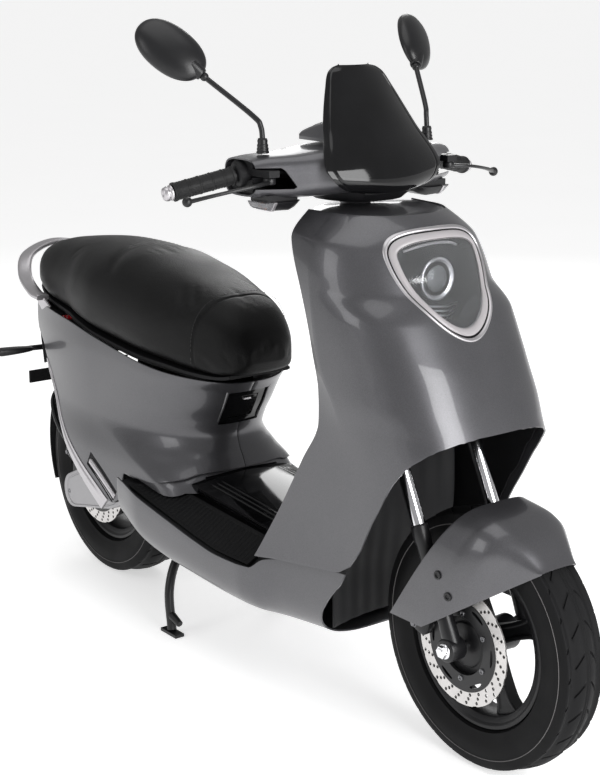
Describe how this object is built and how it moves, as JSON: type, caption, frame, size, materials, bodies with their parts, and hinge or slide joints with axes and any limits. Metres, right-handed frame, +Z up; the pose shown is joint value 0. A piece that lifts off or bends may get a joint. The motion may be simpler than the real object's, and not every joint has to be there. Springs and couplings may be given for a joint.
{
  "type": "moped scooter",
  "caption": "Step-through electric moped scooter: faired front, flat floor, long seat, cast wheels with disc brakes, telescopic fork and hub motor.",
  "frame": {"origin": "on the ground under the middle of the scooter's bounding box, wheels and stand feet on z = 0", "axes": "+Z up; +Y from the front wheel to the rear wheel, so the scooter faces -Y; +X to the rider's left"},
  "size_m": [0.728, 1.7467, 1.2735],
  "materials": {
    "tyre": "matte rubber with a moulded tread",
    "cast_black": "satin black coat",
    "steel": "turned",
    "chrome": "polished",
    "paint": "metallic grey under clear coat",
    "steel_black": "satin black enamel",
    "rubber": "matte",
    "gloss_black": "piano black",
    "matte_black": "fine grain",
    "silver": "satin silver",
    "lens_clear": "clear",
    "lens_smoke": "clear grey",
    "lens_red": "red",
    "vinyl": "black seat vinyl, fine grain"
  },
  "bodies": {
    "chassis": {"main_frame": "steel_black", "front_shield": "paint", "headlight_bezel": "silver", "headlight_lens": "lens_clear", "leg_shield": "matte_black", "wheel_well": "matte_black", "lower_fairing": "paint", "floor_mat_right": "rubber", "floor_mat_left": "rubber", "tunnel_cover": "gloss_black", "side_panel_right": "paint", "side_panel_left": "paint", "lock_panel": "gloss_black", "trim_right": "silver", "trim_left": "silver", "grab_rail": "silver", "tail_lamp": "lens_red", "rear_fender": "matte_black", "turn_rear_right": "matte_black", "turn_rear_left": "matte_black", "storage_bucket": "matte_black", "shock_right": "steel_black", "shock_left": "steel_black"},
    "seat": {"seat_cushion": "vinyl", "seat_base": "matte_black"},
    "steering": {"steering_stem": "steel_black", "stanchion_right": "chrome", "stanchion_left": "chrome", "handlebar": "steel_black", "grip_left": "rubber", "handlebar_cowl": "paint", "windscreen": "gloss_black", "dash_pod": "gloss_black", "mirror_stem_right": "steel_black", "mirror_stem_left": "steel_black", "turn_front_right": "lens_smoke", "turn_front_left": "lens_smoke"},
    "throttle": {"throttle_grip": "rubber"},
    "front_brake_lever": {"brake_lever_right": "cast_black"},
    "rear_brake_lever": {"brake_lever_left": "cast_black"},
    "mirror_right": {"mirror_head_right": "gloss_black"},
    "mirror_left": {"mirror_head_left": "gloss_black"},
    "fork_slider": {"fork_leg_right": "cast_black", "fork_leg_left": "cast_black", "front_fender": "paint", "front_caliper": "cast_black"},
    "front_wheel": {"front_tyre": "tyre", "front_rim": "cast_black", "front_disc": "steel"},
    "swingarm": {"swingarm": "steel_black", "rear_hugger": "matte_black", "hub_cover": "silver", "rear_caliper": "cast_black"},
    "rear_wheel": {"rear_tyre": "tyre", "rear_rim": "cast_black", "rear_disc": "steel"},
    "stand": {"center_stand": "steel_black"},
    "charge_flap": {"charge_flap": "gloss_black"},
    "footrest_right": {"footrest_right": "silver"},
    "footrest_left": {"footrest_left": "silver"}
  },
  "joints": [
    {"name": "steering", "type": "hinge", "parent": "chassis", "child": "steering", "pos_m": [0, -0.4316, 0.6], "axis": [0, 0.4386, 0.8987], "range_deg": [-35, 35]},
    {"name": "fork_travel", "type": "slide", "parent": "steering", "child": "fork_slider", "axis": [0, 0.4386, 0.8987], "range_m": [0, 0.07], "stiffness_N_per_m": 12000, "springref_m": -0.035},
    {"name": "front_wheel_spin", "type": "hinge", "parent": "fork_slider", "child": "front_wheel", "pos_m": [0, -0.64, 0.2335], "axis": [1, 0, 0], "continuous": true},
    {"name": "throttle_twist", "type": "hinge", "parent": "steering", "child": "throttle", "pos_m": [-0.229, -0.204, 1.01], "axis": [0.9509, -0.2313, 0.2056], "range_deg": [-70, 0], "stiffness_Nm_per_rad": 0.3, "springref_deg": 20.05},
    {"name": "front_brake_squeeze", "type": "hinge", "parent": "steering", "child": "front_brake_lever", "pos_m": [-0.207, -0.28, 1.006], "axis": [0, 0, -1], "range_deg": [0, 18], "stiffness_Nm_per_rad": 2, "springref_deg": -11.46},
    {"name": "rear_brake_squeeze", "type": "hinge", "parent": "steering", "child": "rear_brake_lever", "pos_m": [0.207, -0.28, 1.006], "axis": [0, 0, 1], "range_deg": [0, 18], "stiffness_Nm_per_rad": 2, "springref_deg": -11.46},
    {"name": "mirror_right_turn", "type": "hinge", "parent": "steering", "child": "mirror_right", "pos_m": [-0.245, -0.14, 1.177], "axis": [0, 0, 1], "range_deg": [-20, 20]},
    {"name": "mirror_left_turn", "type": "hinge", "parent": "steering", "child": "mirror_left", "pos_m": [0.245, -0.14, 1.177], "axis": [0, 0, -1], "range_deg": [-20, 20]},
    {"name": "rear_suspension", "type": "hinge", "parent": "chassis", "child": "swingarm", "pos_m": [0, 0.265, 0.238], "axis": [1, 0, 0], "range_deg": [0, 8], "stiffness_Nm_per_rad": 2500, "springref_deg": -5.73, "deforming": ["shock_right", "shock_left"]},
    {"name": "rear_wheel_spin", "type": "hinge", "parent": "swingarm", "child": "rear_wheel", "pos_m": [0, 0.58, 0.2365], "axis": [1, 0, 0], "continuous": true},
    {"name": "seat_open", "type": "hinge", "parent": "chassis", "child": "seat", "pos_m": [0, 0.062, 0.56], "axis": [1, 0, 0], "range_deg": [0, 70]},
    {"name": "stand_fold", "type": "hinge", "parent": "chassis", "child": "stand", "pos_m": [0, 0.212, 0.198], "axis": [1, 0, 0], "range_deg": [0, 75]},
    {"name": "charge_flap_open", "type": "hinge", "parent": "chassis", "child": "charge_flap", "pos_m": [0, 0.078, 0.5165], "axis": [-1, 0, 0], "range_deg": [0, 80]},
    {"name": "footrest_right_fold", "type": "hinge", "parent": "chassis", "child": "footrest_right", "pos_m": [-0.166, 0.345, 0.268], "axis": [0, -0.5, 0.866], "range_deg": [0, 80]},
    {"name": "footrest_left_fold", "type": "hinge", "parent": "chassis", "child": "footrest_left", "pos_m": [0.166, 0.345, 0.268], "axis": [0, 0.5, -0.866], "range_deg": [0, 80]}
  ]
}
